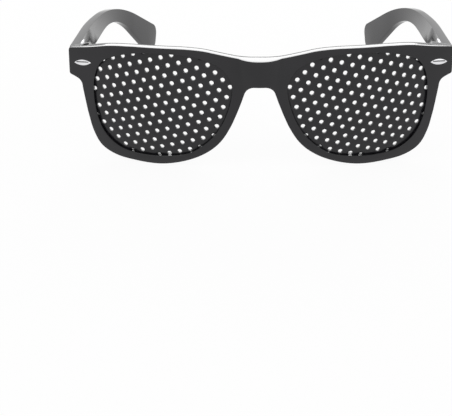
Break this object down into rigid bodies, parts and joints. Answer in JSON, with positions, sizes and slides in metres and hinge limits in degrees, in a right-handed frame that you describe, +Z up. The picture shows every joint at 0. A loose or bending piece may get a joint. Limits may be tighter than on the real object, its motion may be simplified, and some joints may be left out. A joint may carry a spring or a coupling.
{
  "type": "pinhole glasses",
  "caption": "Black plastic spectacle frame with perforated domed plates for lenses, bright almond trims on the end pieces and two folding temples on barrel hinges.",
  "frame": {"origin": "middle of the footprint with the temples open, on the surface that the rims and the temple tips stand on", "axes": "+X towards the wearer's left, +Y from the front back along the temples, +Z up"},
  "size_m": [0.1446, 0.138, 0.0465],
  "materials": {
    "frame_plastic": "moulded black plastic with a soft gloss",
    "plate_plastic": "moulded black plastic with a low gloss",
    "bright_trim": "bright plated metal",
    "hinge_steel": "plain nickel-plated steel",
    "screw_steel": "bright steel"
  },
  "bodies": {
    "front": {"front_frame": "frame_plastic", "lens_plate_left": "plate_plastic", "lens_plate_right": "plate_plastic", "front_trim_left": "bright_trim", "front_trim_right": "bright_trim", "front_hinge_left": "hinge_steel", "front_hinge_right": "hinge_steel", "hinge_screw_left": "screw_steel", "hinge_screw_right": "screw_steel"},
    "left_temple": {"temple_left": "frame_plastic", "temple_hinge_left": "hinge_steel"},
    "right_temple": {"temple_right": "frame_plastic", "temple_hinge_right": "hinge_steel"}
  },
  "joints": [
    {"name": "left_temple_fold", "type": "hinge", "parent": "front", "child": "left_temple", "pos_m": [0.06725, -0.04864, 0.0383], "axis": [0, 0, 1], "range_deg": [0, 85]},
    {"name": "right_temple_fold", "type": "hinge", "parent": "front", "child": "right_temple", "pos_m": [-0.06725, -0.04864, 0.0383], "axis": [0, 0, -1], "range_deg": [0, 78]}
  ]
}
